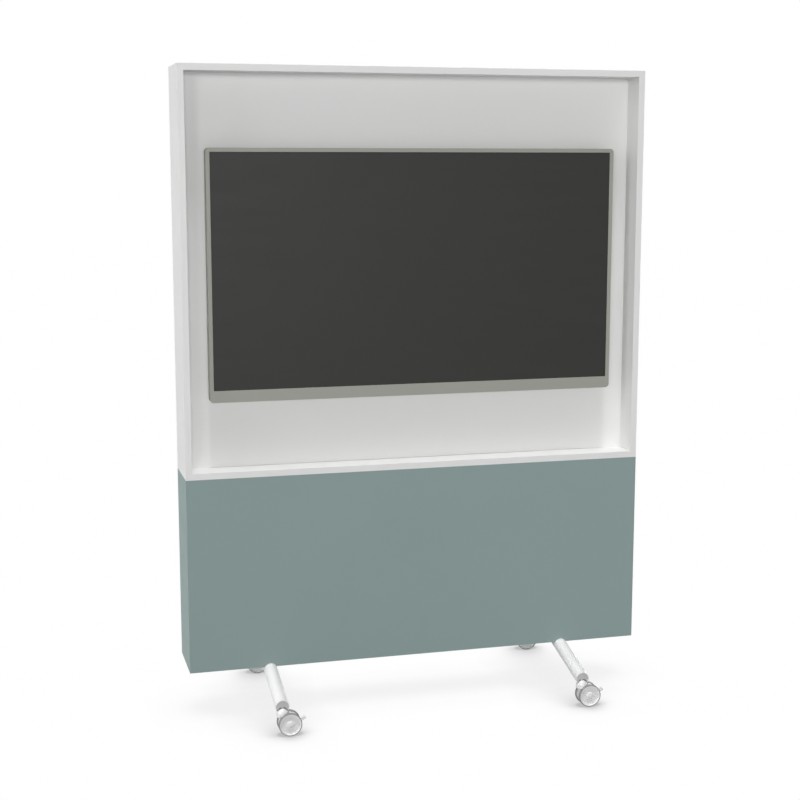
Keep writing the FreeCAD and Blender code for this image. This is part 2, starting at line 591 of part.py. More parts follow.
def casters():
    """Four twin-wheel casters, each trailing to +X."""
    turn = 360
    hub = V(TRAIL, 0, WHEEL_R)
    rim = rim_outline().revolve(V(0, 0, 0), Y_AXIS, turn)
    tyre = tyre_outline().revolve(V(0, 0, 0), Y_AXIS, turn)
    axle = rod(AXLE_R, (TRAIL, -AXLE_END, WHEEL_R), (TRAIL, AXLE_END, WHEEL_R))
    housing = caster_housing()
    pedal = brake_pedal()
    for depth_name, depth in FRONT_REAR:
        for side_name, side in LEFT_RIGHT:
            place = V(side * LEG_X, depth * STEM_Y, 0)
            corner = depth_name + "_" + side_name + "_"
            save(corner + "caster_housing", [housing.translated(place)])
            save(corner + "caster_axle", [axle.translated(place)])
            save(corner + "brake_pedal", [pedal.translated(place)])
            for wheel_name, away in (("outer", depth), ("inner", -depth)):
                for piece_name, piece in (("rim", rim), ("tyre", tyre)):
                    half = piece if away > 0 else piece.mirror(V(0, 0, 0), Y_AXIS)
                    save(corner + wheel_name + "_" + piece_name, [half.translated(place + hub)])


os.makedirs("parts", exist_ok=True)
niche_boards()
frame_uprights()
base_unit()
leg_saddles()
legs()
monitor()
bracket()
casters()
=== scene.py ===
import json
import math

import bmesh
import bpy
from mathutils import Matrix, Vector


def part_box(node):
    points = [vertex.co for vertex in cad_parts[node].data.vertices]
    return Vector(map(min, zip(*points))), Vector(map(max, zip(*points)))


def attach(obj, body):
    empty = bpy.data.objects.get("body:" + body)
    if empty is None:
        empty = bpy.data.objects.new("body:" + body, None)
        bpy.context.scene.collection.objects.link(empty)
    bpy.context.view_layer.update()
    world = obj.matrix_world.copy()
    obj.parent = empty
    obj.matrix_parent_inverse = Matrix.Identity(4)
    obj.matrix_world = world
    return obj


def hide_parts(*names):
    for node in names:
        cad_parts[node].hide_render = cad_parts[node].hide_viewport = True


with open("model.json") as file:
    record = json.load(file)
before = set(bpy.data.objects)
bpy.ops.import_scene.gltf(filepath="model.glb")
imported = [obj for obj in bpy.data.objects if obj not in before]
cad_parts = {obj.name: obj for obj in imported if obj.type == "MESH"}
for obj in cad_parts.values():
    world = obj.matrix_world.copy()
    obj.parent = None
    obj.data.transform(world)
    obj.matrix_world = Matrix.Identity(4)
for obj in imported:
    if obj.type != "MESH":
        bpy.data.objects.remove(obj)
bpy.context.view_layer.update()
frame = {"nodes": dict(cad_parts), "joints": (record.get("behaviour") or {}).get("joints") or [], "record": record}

# Mobile monitor wall: the finish of every piece, finer wheels, pedals, boards and screws,
# and a plain studio round them. Metres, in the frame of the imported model: +Z up, +X to the
# viewer's right, -Y towards the viewer. Colours are linear light, scales of patterns per metre.

MM = 0.001

# Camera, as the photograph was taken
CAMERA_PLACE = (-1.198386, -4.339115, 1.622221)
CAMERA_TURN = 0.262064          # radians to the right of straight ahead
CAMERA_DIP = 0.155925           # radians below the level
CAMERA_FOCAL = 1497.62          # pixels
PHOTO_SIDE = 800                # pixels
CAMERA_SENSOR = 36.0            # millimetres

# Studio
WHITE = (1.0, 1.0, 1.0, 1.0)
SKY_LEVEL = 0.06                # plain light from all round
BACKDROP_LEVEL = 1.0            # the sky as it is seen
LAMPS = {                       # watts per square metre, degrees across, where from
    "top_lamp": (2.09, 9.0, (0.0, -0.88, 5.0)),
    "front_lamp": (0.93, 16.0, (-0.3, -4.0, 0.35)),
    "left_lamp": (0.40, 14.0, (-2.3, -4.0, 0.5)),
    "side_lamp": (1.80, 55.0, (-5.0, 0.0, 1.2)),
    "rear_lamp": (2.60, 60.0, (2.6, 4.0, 1.3)),
}
FLOOR_HALF = 30.0
FLOOR_COLOUR = (0.35, 0.35, 0.35, 1.0)
FLOOR_NEAR = (0.95, 0.60)       # half sides of the patch that the object can shade
FLOOR_SHADES = (                # reach of what darkens the floor, closed-in shares, depth
    (0.060, 0.28, 0.50, 0.28),  # the wheels
    (0.160, 0.08, 0.39, 0.20),  # the legs and casters
    (0.200, 0.00, 0.27, 0.12),  # the underside of the wall
)
FLOOR_RAYS = 32

# Copies of the nodes, with rounded edges
BOARD_EDGE = 0.45 * MM
LEG_EDGE = 0.4 * MM             # leg tubes and caster housings
SMALL_EDGES = {
    "leg_end_plugs": 0.5 * MM,
    "leg_saddles": 0.6 * MM,
    "monitor_bezel": 0.5 * MM,
    "monitor_rear_cover": 0.6 * MM,
    "monitor_power_button": 0.4 * MM,
    "cable_gland": 0.4 * MM,
    "cable_grommet": 0.4 * MM,
}
EDGE_STEPS = 3
SHARP_TURN = math.radians(30)   # edges that are rounded
CREASE_TURN = math.radians(40)  # edges that stay creased in the shading
FLAT_TURN = math.radians(0.6)   # faces that lie in one plane
NODE_MERGE = 0.001 * MM         # corners of a node that are one
FLAT_FACE_WEIGHT = 100          # large faces alone set the shading

WHITE_BOARDS = ("niche_left_board", "niche_right_board", "niche_top_board", "niche_bottom_board",
                "niche_back_board", "rear_cover")
GREEN_BOARDS = ("base_front_panel", "base_rear_panel", "base_left_panel", "base_right_panel",
                "base_bottom_board")
CORNERS = ("front_left", "front_right", "rear_left", "rear_right")
WHEEL_SIDES = ("outer", "inner")

# Wheels: their sections are radius and place from the inner side, in millimetres
WHEEL_STEPS = 96
SPIN_MERGE = 0.0005 * MM
RIM_EDGE = 0.22 * MM
RIM_RADIUS = 31.4
RIM_SECTION = (
    (0.0, 7.8), (3.05, 7.8), (3.05, 0.0), (6.85, 0.0), (6.85, 3.8), (29.0, 3.8), (29.0, 0.0),
    (RIM_RADIUS, 0.0), (RIM_RADIUS, 9.7), (29.7, 9.7), (29.0, 6.0), (12.4, 6.0), (12.1, 6.7),
    (11.3, 7.55), (9.9, 8.35), (8.0, 8.95), (5.6, 9.4), (3.0, 9.63), (0.0, 9.7))
TYRE_RADIUS = 34.0
TYRE_WIDTH = 10.0
GROOVE_RADIUS = 33.55
TYRE_SECTION = (
    (RIM_RADIUS, 0.0), (TYRE_RADIUS, 0.0), (TYRE_RADIUS, 3.0), (GROOVE_RADIUS, 3.2),
    (GROOVE_RADIUS, 3.7), (TYRE_RADIUS, 3.9), (TYRE_RADIUS, 6.1), (GROOVE_RADIUS, 6.3),
    (GROOVE_RADIUS, 6.8), (TYRE_RADIUS, 7.0), (TYRE_RADIUS, TYRE_WIDTH), (RIM_RADIUS, TYRE_WIDTH))
TYRE_ROUND = 1.5 * MM
TYRE_ROUND_STEPS = 5
TYRE_NEAR = 0.1 * MM            # how near to a tyre's shoulder counts as on it

# Brake pedals
PEDAL_EDGE = 0.5 * MM
PEDAL_TILT = math.radians(-32.5)
PEDAL_TOP = 1.4 * MM            # half of the pedal's thickness
PEDAL_RIBS = (24.0 * MM, 26.4 * MM, 28.8 * MM)      # from the pedal's pivot
PEDAL_RIB_WIDTH = 1.0 * MM
PEDAL_RIB_LENGTH = 14.0 * MM
PEDAL_RIB_RISE = 0.5 * MM
PEDAL_RIB_EDGE = 0.35 * MM

# Screws with a lobed drive: radius and height over the seat in millimetres, lobed or not
SCREW_STEPS = 48
SCREW_LOBES = 6
SCREW_LOBE_DEPTH = 0.26         # of the drive's radius
COVER_HEAD = 2.5                # height of a head, millimetres
COVER_SCREW = (
    (1.2, -30.5, 0), (2.0, -29.4, 0), (2.0, 0.0, 0), (4.4, 0.0, 0), (4.5, 0.2, 0), (4.5, 1.6, 0),
    (4.35, 2.05, 0), (3.95, 2.36, 0), (3.3, COVER_HEAD, 0),
    (2.15, COVER_HEAD, 1), (2.0, 2.34, 1), (1.95, 0.9, 1))
SADDLE_HEAD = 4.0
SADDLE_SCREW = (
    (1.8, -20.0, 0), (3.0, -18.6, 0), (3.0, 0.0, 0), (5.9, 0.0, 0), (6.0, 0.2, 0), (6.0, 2.6, 0),
    (5.75, 3.3, 0), (5.2, 3.78, 0), (4.3, SADDLE_HEAD, 0),
    (2.85, SADDLE_HEAD, 1), (2.65, 3.8, 1), (2.6, 1.6, 1))

# Shared effects
NOISE_MIDDLE = 0.5
NOISE_GAIN = 4.0                # noise seldom leaves its middle by more than a quarter
TONE_LAYERS = (("Cloud", 3.0), ("Fleck", 1.0))      # name and detail
RUB_LEAN = (0.995, 0.80)        # agreement of the rounded normal where a rub begins, and is full
RUB_PATCH = (0.38, 0.66)        # noise where a rub begins, and is full
RUB_RAYS = 4
DUST_SLOPE = (0.55, 0.98)       # how far a face looks up where dust begins to lie, and lies fully
DUST_SCALE = 25.0
DUST_COLOUR = (0.62, 0.60, 0.57, 1.0)

# Finishes with a pattern of their own
ZINC_BRIGHT = (0.66, 0.66, 0.67, 1.0)
ZINC_DULL = (0.52, 0.52, 0.53, 1.0)
ZINC_TARNISH = (0.46, 0.43, 0.36, 1.0)
TIMBER_PALE = (0.70, 0.52, 0.31, 1.0)
TIMBER_LATE = (0.50, 0.31, 0.15, 1.0)
TIMBER_PORE = (0.40, 0.25, 0.12, 1.0)
TIMBER_STRETCH = (1.0, 1.0, 0.035)
SCREEN_DARK = (0.007, 0.007, 0.006)
SCREEN_WIPED = (0.03, 0.03, 0.029, 1.0)
SCREEN_STRETCH = (1.0, 1.0, 5.0)
SCREEN_SLANT = (0.0, 0.5, 0.0)  # radians
SCREEN_MARKS = (0.10, 0.05)     # share of the wiping marks in the colour and in the roughness


def add(tree, kind, inputs=None, **settings):
    """A node with its settings; each input is a value, or a socket to join to."""
    node = tree.nodes.new(kind)
    for name, value in settings.items():
        setattr(node, name, value)
    for name, value in (inputs or {}).items():
        if isinstance(value, bpy.types.NodeSocket):
            tree.links.new(value, node.inputs[name])
        else:
            node.inputs[name].default_value = value
    return node


def combine(tree, operation, first, second=0.0, clamp=False):
    """One Math node's result."""
    return add(tree, "ShaderNodeMath", {0: first, 1: second}, operation=operation,
               use_clamp=clamp).outputs[0]


def remap(tree, value, low, high, to_low=0.0, to_high=1.0, smooth=False):
    """A value taken from one range to another, and held there."""
    inputs = {"Value": value, "From Min": low, "From Max": high, "To Min": to_low, "To Max": to_high}
    kind = "SMOOTHSTEP" if smooth else "LINEAR"
    return add(tree, "ShaderNodeMapRange", inputs, interpolation_type=kind, clamp=True).outputs["Result"]


def blend_colours(tree, share, first, second):
    """The first colour, with a share of the second one."""
    # The Mix node takes colours at its inputs 6 and 7 and gives one at its output 2
    return add(tree, "ShaderNodeMix", {0: share, 6: first, 7: second}, data_type="RGBA").outputs[2]


def cloud(tree, place, scale, detail=2.0):
    """Soft noise from 0 to 1."""
    inputs = {"Vector": place, "Scale": scale, "Detail": detail}
    return add(tree, "ShaderNodeTexNoise", inputs).outputs["Fac"]


def object_place(tree):
    """The place on the piece, in metres."""
    return add(tree, "ShaderNodeTexCoord").outputs["Object"]


def start_group(name, inputs, outputs):
    """An empty node group: the group, its incoming sockets and its outgoing ones."""
    group = bpy.data.node_groups.new(name, "ShaderNodeTree")
    for direction, sockets in (("INPUT", inputs), ("OUTPUT", outputs)):
        for label, kind in sockets:
            group.interface.new_socket(name=label, in_out=direction, socket_type="NodeSocket" + kind)
    entry = group.nodes.new("NodeGroupInput")
    leave = group.nodes.new("NodeGroupOutput")
    return group, entry.outputs, leave.inputs


def make_uneven_tone():
    """A colour that drifts in soft clouds and carries fine flecks."""
    group, given, result = start_group(
        "uneven_tone",
        [("Colour", "Color"), ("Cloud Scale", "Float"), ("Cloud Depth", "Float"),
         ("Fleck Scale", "Float"), ("Fleck Depth", "Float")],
        [("Colour", "Color")])
    place = object_place(group)
    colour = given["Colour"]
    for layer, detail in TONE_LAYERS:
        noise = cloud(group, place, given[layer + " Scale"], detail)
        drift = combine(group, "SUBTRACT", noise, NOISE_MIDDLE)
        depth = combine(group, "MULTIPLY", given[layer + " Depth"], NOISE_GAIN)
        level = combine(group, "ADD", combine(group, "MULTIPLY", drift, depth), 1.0)
        node = add(group, "ShaderNodeVectorMath", {0: colour, "Scale": level}, operation="SCALE")
        colour = node.outputs[0]
    group.links.new(colour, result["Colour"])
    return group


def make_uneven_gloss():
    """A roughness that varies in patches, as handling and cleaning leave it."""
    group, given, result = start_group(
        "uneven_gloss", [("Roughness", "Float"), ("Spread", "Float"), ("Patch Scale", "Float")],
        [("Roughness", "Float")])
    patch = cloud(group, object_place(group), given["Patch Scale"], detail=4.0)
    drift = combine(group, "MULTIPLY", combine(group, "SUBTRACT", patch, NOISE_MIDDLE), given["Spread"])
    rough = combine(group, "ADD", drift, given["Roughness"], clamp=True)
    group.links.new(rough, result["Roughness"])
    return group


def make_fine_relief():
    """Height of a moulded or sprayed skin: soft swells and pebbles."""
    group, given, result = start_group(
        "fine_relief", [("Scale", "Float"), ("Pebble Share", "Float")], [("Height", "Float")])
    place = object_place(group)
    swell = cloud(group, place, given["Scale"])
    pebble = add(group, "ShaderNodeTexVoronoi", {"Vector": place, "Scale": given["Scale"]},
                 feature="SMOOTH_F1").outputs["Distance"]
    # The Mix node takes plain values at its inputs 2 and 3
    height = add(group, "ShaderNodeMix", {0: given["Pebble Share"], 2: swell, 3: pebble},
                 data_type="FLOAT").outputs[0]
    group.links.new(height, result["Height"])
    return group


def make_edge_rub():
    """Mask of the edges, broken up into patches."""
    group, given, result = start_group(
        "edge_rub", [("Radius", "Float"), ("Patch Scale", "Float")], [("Mask", "Float")])
    rounded = add(group, "ShaderNodeBevel", {"Radius": given["Radius"]}, samples=RUB_RAYS)
    plain = add(group, "ShaderNodeNewGeometry")
    along = add(group, "ShaderNodeVectorMath", {0: rounded.outputs["Normal"], 1: plain.outputs["Normal"]},
                operation="DOT_PRODUCT")
    edge = remap(group, along.outputs["Value"], *RUB_LEAN)
    patch = remap(group, cloud(group, object_place(group), given["Patch Scale"], detail=4.0), *RUB_PATCH)
    group.links.new(combine(group, "MULTIPLY", edge, patch), result["Mask"])
    return group


def make_settled_dust():
    """Mask of faces that look up, in soft patches."""
    group, given, result = start_group(
        "settled_dust", [("Patch Scale", "Float"), ("Depth", "Float")], [("Mask", "Float")])
    normal = add(group, "ShaderNodeNewGeometry").outputs["Normal"]
    up = add(group, "ShaderNodeSeparateXYZ", {0: normal}).outputs["Z"]
    patch = cloud(group, object_place(group), given["Patch Scale"], detail=5.0)
    lying = combine(group, "MULTIPLY", remap(group, up, *DUST_SLOPE), patch)
    group.links.new(combine(group, "MULTIPLY", lying, given["Depth"]), result["Mask"])
    return group


GROUPS = {
    "tone": make_uneven_tone(),
    "gloss": make_uneven_gloss(),
    "relief": make_fine_relief(),
    "rub": make_edge_rub(),
    "dust": make_settled_dust(),
}


def place_group(tree, name, inputs):
    """One of the shared effects, with this finish's values."""
    return add(tree, "ShaderNodeGroup", inputs, node_tree=GROUPS[name]).outputs[0]


def start_finish(name, sockets):
    """A material with one shader: the material, its tree and the shader."""
    material = bpy.data.materials.new(name)
    material.use_nodes = True
    tree = material.node_tree
    tree.nodes.clear()
    shader = add(tree, "ShaderNodeBsdfPrincipled", sockets)
    add(tree, "ShaderNodeOutputMaterial", {"Surface": shader.outputs["BSDF"]})
    return material, tree, shader


def toned(tree, colour, clouds, flecks):
    """A finish's own colour, with its drift and its flecks."""
    return place_group(tree, "tone", {
        "Colour": (*colour, 1.0), "Cloud Scale": clouds[0], "Cloud Depth": clouds[1],
        "Fleck Scale": flecks[0], "Fleck Depth": flecks[1]})


def glossed(tree, level, spread, scale):
    """A finish's roughness."""
    return place_group(tree, "gloss", {"Roughness": level, "Spread": spread, "Patch Scale": scale})


def raised(tree, shader, height, strength, depth):
    """Gives the shader a relief."""
    bump = add(tree, "ShaderNodeBump", {"Height": height, "Strength": strength, "Distance": depth})
    tree.links.new(bump.outputs["Normal"], shader.inputs["Normal"])


def worn(tree, colour, rub, dust):
    """The colour with rubbed edges and a little dust on top."""
    radius, patch, rubbed, share = rub
    mask = place_group(tree, "rub", {"Radius": radius, "Patch Scale": patch})
    colour = blend_colours(tree, combine(tree, "MULTIPLY", mask, share), colour, (*rubbed, 1.0))
    lying = place_group(tree, "dust", {"Patch Scale": DUST_SCALE, "Depth": dust})
    return blend_colours(tree, lying, colour, DUST_COLOUR)


def coat(name, colour, clouds, flecks, gloss, relief, rub, dust, sockets=None):
    """A painted, laminated or moulded finish."""
    material, tree, shader = start_finish(name, sockets)
    scale, pebbles, strength, depth = relief
    tree.links.new(worn(tree, toned(tree, colour, clouds, flecks), rub, dust), shader.inputs["Base Color"])
    tree.links.new(glossed(tree, *gloss), shader.inputs["Roughness"])
    height = place_group(tree, "relief", {"Scale": scale, "Pebble Share": pebbles})
    raised(tree, shader, height, strength, depth)
    return material


# Each finish: colour, clouds and flecks (scale, depth), gloss (roughness, spread, scale), relief
# (scale, share of pebbles, strength, depth), rub (radius, patch scale, colour, share), dust.
COATS = {
    "white_board": dict(
        colour=(0.80, 0.80, 0.795), clouds=(3.0, 0.010), flecks=(700.0, 0.012), gloss=(0.46, 0.16, 18.0),
        relief=(1500.0, 0.4, 0.22, 0.05 * MM), rub=(1.2 * MM, 45.0, (0.70, 0.69, 0.67), 0.16), dust=0.04),
    "green_board": dict(
        colour=(0.282, 0.366, 0.357), clouds=(2.6, 0.014), flecks=(650.0, 0.02), gloss=(0.47, 0.18, 16.0),
        relief=(1500.0, 0.4, 0.25, 0.05 * MM), rub=(1.4 * MM, 40.0, (0.40, 0.46, 0.44), 0.35), dust=0.04,
        sockets={"Specular IOR Level": 0.05}),
    "white_tube": dict(
        colour=(0.82, 0.82, 0.815), clouds=(9.0, 0.012), flecks=(900.0, 0.012), gloss=(0.36, 0.14, 45.0),
        relief=(520.0, 0.15, 0.3, 0.06 * MM), rub=(1.0 * MM, 120.0, (0.60, 0.60, 0.59), 0.35), dust=0.05),
    "grey_plug": dict(
        colour=(0.53, 0.53, 0.525), clouds=(30.0, 0.02), flecks=(1800.0, 0.03), gloss=(0.52, 0.16, 90.0),
        relief=(2400.0, 0.7, 0.3, 0.05 * MM), rub=(0.7 * MM, 200.0, (0.55, 0.55, 0.54), 0.4), dust=0.03),
    "white_caster": dict(
        colour=(0.80, 0.80, 0.795), clouds=(28.0, 0.015), flecks=(1600.0, 0.015), gloss=(0.40, 0.16, 80.0),
        relief=(2600.0, 0.6, 0.25, 0.04 * MM), rub=(0.7 * MM, 180.0, (0.58, 0.57, 0.55), 0.4), dust=0.06),
    "grey_rim": dict(
        colour=(0.82, 0.82, 0.815), clouds=(40.0, 0.02), flecks=(1800.0, 0.02), gloss=(0.44, 0.16, 90.0),
        relief=(2600.0, 0.6, 0.25, 0.04 * MM), rub=(0.6 * MM, 200.0, (0.48, 0.47, 0.46), 0.4), dust=0.05),
    "tyre_rubber": dict(
        colour=(0.30, 0.30, 0.297), clouds=(60.0, 0.05), flecks=(2200.0, 0.05), gloss=(0.72, 0.2, 120.0),
        relief=(2600.0, 0.5, 0.35, 0.06 * MM), rub=(0.8 * MM, 160.0, (0.30, 0.29, 0.28), 0.5), dust=0.08),
    "grey_bezel": dict(
        colour=(0.315, 0.32, 0.282), clouds=(6.0, 0.012), flecks=(1800.0, 0.03), gloss=(0.44, 0.14, 30.0),
        relief=(2800.0, 0.7, 0.25, 0.04 * MM), rub=(0.8 * MM, 90.0, (0.48, 0.48, 0.44), 0.3), dust=0.03),
    "black_plastic": dict(
        colour=(0.028, 0.028, 0.028), clouds=(12.0, 0.05), flecks=(1600.0, 0.10), gloss=(0.55, 0.16, 60.0),
        relief=(1900.0, 0.8, 0.4, 0.06 * MM), rub=(0.7 * MM, 120.0, (0.09, 0.09, 0.09), 0.4), dust=0.10),
    "black_steel": dict(
        colour=(0.030, 0.030, 0.031), clouds=(10.0, 0.05), flecks=(1000.0, 0.10), gloss=(0.48, 0.16, 50.0),
        relief=(900.0, 0.4, 0.4, 0.06 * MM), rub=(0.6 * MM, 140.0, (0.20, 0.20, 0.21), 0.4), dust=0.10),
    "black_rubber": dict(
        colour=(0.030, 0.030, 0.030), clouds=(50.0, 0.06), flecks=(1900.0, 0.08), gloss=(0.70, 0.16, 120.0),
        relief=(2200.0, 0.5, 0.4, 0.06 * MM), rub=(0.5 * MM, 160.0, (0.08, 0.08, 0.08), 0.4), dust=0.10),
}


def zinc_plate():
    """Bright plated steel with a faint spangle and a warm tarnish in patches."""
    material, tree, shader = start_finish("zinc_steel", {"Metallic": 1.0})
    place = object_place(tree)
    spangle = add(tree, "ShaderNodeTexVoronoi", {"Vector": place, "Scale": 900.0})
    dull = remap(tree, spangle.outputs["Distance"], low=0.0, high=0.8)
    colour = blend_colours(tree, dull, ZINC_BRIGHT, ZINC_DULL)
    tarnish = remap(tree, cloud(tree, place, scale=130.0, detail=4.0), low=0.45, high=0.75, to_high=0.5)
    colour = blend_colours(tree, tarnish, colour, ZINC_TARNISH)
    tree.links.new(colour, shader.inputs["Base Color"])
    tree.links.new(glossed(tree, level=0.34, spread=0.25, scale=220.0), shader.inputs["Roughness"])
    raised(tree, shader, cloud(tree, place, scale=1400.0), strength=0.2, depth=0.04 * MM)
    return material


def planed_softwood():
    """Upright timber: growth rings cut lengthways, darker late wood and fine pores."""
    material, tree, shader = start_finish("raw_timber", {})
    along = add(tree, "ShaderNodeMapping", {"Vector": object_place(tree), "Scale": TIMBER_STRETCH})
    place = along.outputs["Vector"]
    bands = add(tree, "ShaderNodeTexWave",
                {"Vector": place, "Scale": 55.0, "Distortion": 5.0, "Detail": 3.0, "Detail Scale": 1.6},
                wave_type="BANDS", bands_direction="X")
    ring = remap(tree, bands.outputs["Fac"], low=0.35, high=0.95)
    wood = blend_colours(tree, ring, TIMBER_PALE, TIMBER_LATE)
    pores = remap(tree, cloud(tree, place, scale=1500.0), low=0.5, high=0.75, to_high=0.35)
    wood = blend_colours(tree, pores, wood, TIMBER_PORE)
    tree.links.new(wood, shader.inputs["Base Color"])
    tree.links.new(glossed(tree, level=0.66, spread=0.2, scale=60.0), shader.inputs["Roughness"])
    raised(tree, shader, combine(tree, "ADD", ring, pores), strength=0.35, depth=0.12 * MM)
    return material


def screen_film():
    """Anti-glare film over a dark panel: a fine sparkle, and faint wiping marks in its gloss."""
    material, tree, shader = start_finish("dark_screen", {"IOR": 1.40})
    place = object_place(tree)
    wiped = add(tree, "ShaderNodeMapping",
                {"Vector": place, "Scale": SCREEN_STRETCH, "Rotation": SCREEN_SLANT}).outputs["Vector"]
    marks = remap(tree, cloud(tree, wiped, scale=5.0, detail=6.0), low=0.35, high=0.75, smooth=True)
    in_colour, in_gloss = [combine(tree, "MULTIPLY", marks, share) for share in SCREEN_MARKS]
    dark = toned(tree, SCREEN_DARK, clouds=(2.0, 0.03), flecks=(2600.0, 0.10))
    tree.links.new(blend_colours(tree, in_colour, dark, SCREEN_WIPED), shader.inputs["Base Color"])
    gloss = glossed(tree, level=0.46, spread=0.06, scale=3.0)
    tree.links.new(combine(tree, "ADD", gloss, in_gloss), shader.inputs["Roughness"])
    raised(tree, shader, cloud(tree, place, scale=3200.0, detail=1.0), strength=0.2, depth=0.03 * MM)
    return material


def make_finishes():
    """The finish of each slot of the record."""
    finishes = {slot: coat(slot, **values) for slot, values in COATS.items()}
    finishes["zinc_steel"] = zinc_plate()
    finishes["raw_timber"] = planed_softwood()
    finishes["dark_screen"] = screen_film()
    return finishes


FINISHES = make_finishes()
SLOT_OF = {part["node"]: part["material_slot"] for part in frame["record"]["subparts"]}
BODY_OF = {node: body for body, nodes in frame["record"]["behaviour"]["bodies"].items() for node in nodes}


def finished_piece(shape, node):
    """Makes the shape a piece that stands for the node, with the node's body and finish."""
    mesh = bpy.data.meshes.new("finished_" + node)
    shape.to_mesh(mesh)
    shape.free()
    mesh.shade_smooth()
    mesh.set_sharp_from_angle(angle=CREASE_TURN)
    mesh.materials.append(FINISHES[SLOT_OF[node]])
    piece = bpy.data.objects.new("finished_" + node, mesh)
    bpy.context.scene.collection.objects.link(piece)
    even = piece.modifiers.new("even_normals", "WEIGHTED_NORMAL")
    even.mode = "FACE_AREA"
    even.weight = FLAT_FACE_WEIGHT
    even.keep_sharp = True
    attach(piece, BODY_OF[node])
    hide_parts(node)


def node_copy(node):
    """A node's shape with its corners joined and its flat faces whole."""
    shape = bmesh.new()
    shape.from_mesh(frame["nodes"][node].data)
    bmesh.ops.remove_doubles(shape, verts=shape.verts, dist=NODE_MERGE)
    bmesh.ops.dissolve_limit(shape, angle_limit=FLAT_TURN, verts=shape.verts, edges=shape.edges,
                             delimit=set())
    return shape


def round_edges(shape, edges, width, steps=EDGE_STEPS, clamp=False):
    """Rounds the given edges."""
    bmesh.ops.bevel(shape, geom=edges, offset=width, offset_type="OFFSET", affect="EDGES",
                    segments=steps, profile=0.5, material=-1, clamp_overlap=clamp)


def soften(shape, width):
    """Rounds the sharp edges."""
    sharp = [edge for edge in shape.edges
             if len(edge.link_faces) == 2 and edge.calc_face_angle() > SHARP_TURN]
    round_edges(shape, sharp, width, clamp=True)


def soft_copy(node, width):
    """The node's own shape with its sharp edges rounded."""
    shape = node_copy(node)
    soften(shape, width)
    finished_piece(shape, node)


def edges_at(points):
    """The edges that meet at the points, each once."""
    return list(dict.fromkeys(edge for point in points for edge in point.link_edges))


def spun(section, closed):
    """A section of (radius, place) pairs in millimetres, spun round the Y axis."""
    shape = bmesh.new()
    corners = [shape.verts.new((radius * MM, place * MM, 0.0)) for radius, place in section]
    following = corners[1:] + corners[:1] if closed else corners[1:]
    lines = [shape.edges.new(pair) for pair in zip(corners, following)]
    bmesh.ops.spin(shape, geom=corners + lines, cent=(0, 0, 0), axis=(0, 1, 0), angle=2 * math.pi,
                   steps=WHEEL_STEPS, use_merge=True)
    bmesh.ops.remove_doubles(shape, verts=shape.verts, dist=SPIN_MERGE)
    bmesh.ops.dissolve_degenerate(shape, edges=shape.edges, dist=SPIN_MERGE)
    bmesh.ops.recalc_face_normals(shape, faces=shape.faces)
    return shape


def on_shoulder(point):
    """True where a tyre's tread meets one of its sides."""
    from_side = min(abs(point.y), abs(point.y - TYRE_WIDTH * MM))
    return math.hypot(point.x, point.z) > TYRE_RADIUS * MM - TYRE_NEAR and from_side < TYRE_NEAR


def wheel_place(corner, side):
    """Moves a wheel that is spun about the origin to its axle, its outer face outwards."""
    low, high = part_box(corner + "_" + side + "_tyre")
    middle = (low + high) / 2
    housing_low, housing_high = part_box(corner + "_caster_housing")
    outwards = 1 if middle.y > (housing_low.y + housing_high.y) / 2 else -1
    inner = low.y if outwards > 0 else high.y
    return Matrix.Translation((middle.x, inner, middle.z)) @ Matrix.Diagonal((1, outwards, 1, 1))


def wheel_piece(shape, node, place):
    """Puts a spun shape in its place and finishes it."""
    bmesh.ops.transform(shape, matrix=place, verts=shape.verts)
    bmesh.ops.recalc_face_normals(shape, faces=shape.faces)
    finished_piece(shape, node)


def make_wheels():
    """Two wheels to a caster: a dished rim with a domed hub, and a grooved tyre."""
    for corner in CORNERS:
        for side in WHEEL_SIDES:
            place = wheel_place(corner, side)
            rim = spun(RIM_SECTION, closed=False)
            soften(rim, RIM_EDGE)
            wheel_piece(rim, corner + "_" + side + "_rim", place)
            tyre = spun(TYRE_SECTION, closed=True)
            shoulders = [edge for edge in tyre.edges if all(on_shoulder(end.co) for end in edge.verts)]
            round_edges(tyre, shoulders, TYRE_ROUND, TYRE_ROUND_STEPS)
            wheel_piece(tyre, corner + "_" + side + "_tyre", place)


def make_pedals():
    """Foot levers with grip ribs across the tab."""
    pivots = {joint["child"]: joint["pos_m"] for joint in frame["joints"] if "pos_m" in joint}
    rib_size = Matrix.Diagonal((PEDAL_RIB_WIDTH, PEDAL_RIB_LENGTH, 2 * PEDAL_RIB_RISE, 1.0))
    for corner in CORNERS:
        node = corner + "_brake_pedal"
        shape = node_copy(node)
        soften(shape, PEDAL_EDGE)
        tab = Matrix.Translation(pivots[BODY_OF[node]]) @ Matrix.Rotation(PEDAL_TILT, 4, "Y")
        for reach in PEDAL_RIBS:
            place = tab @ Matrix.Translation((reach, 0.0, PEDAL_TOP)) @ rib_size
            rib = bmesh.ops.create_cube(shape, size=1.0, matrix=place)["verts"]
            round_edges(shape, edges_at(rib), PEDAL_RIB_EDGE)
        finished_piece(shape, node)


